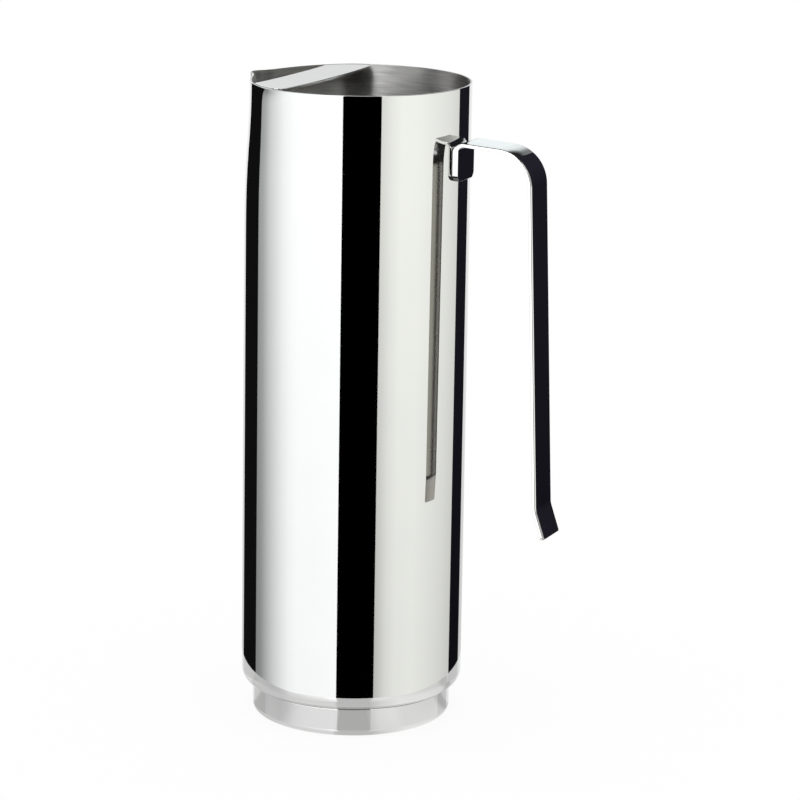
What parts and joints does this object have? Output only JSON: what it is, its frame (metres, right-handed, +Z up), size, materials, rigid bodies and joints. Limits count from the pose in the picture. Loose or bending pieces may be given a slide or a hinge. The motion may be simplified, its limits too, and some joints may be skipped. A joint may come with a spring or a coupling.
{
  "type": "cocktail pitcher",
  "caption": "Tall straight-sided pitcher of polished steel with a pinched pouring lip, a flat ice guard across the mouth, a stepped foot and a bent strap handle.",
  "frame": {"origin": "on the body's axis, at the level of the table that the foot stands on", "axes": "+Z up along the body's axis, +X towards the handle, -X towards the pouring lip"},
  "size_m": [0.1345, 0.09, 0.26],
  "materials": {
    "body_steel": "mirror-polished stainless steel outside, satin inside",
    "floor_steel": "satin stainless steel",
    "foot_steel": "mirror-polished stainless steel",
    "guard_steel": "polished stainless steel",
    "handle_steel": "mirror-polished stainless steel"
  },
  "bodies": {
    "root": {"body_shell": "body_steel", "floor_pan": "floor_steel", "foot_ring": "foot_steel", "ice_guard": "guard_steel", "handle_strap": "handle_steel"}
  },
  "joints": []
}
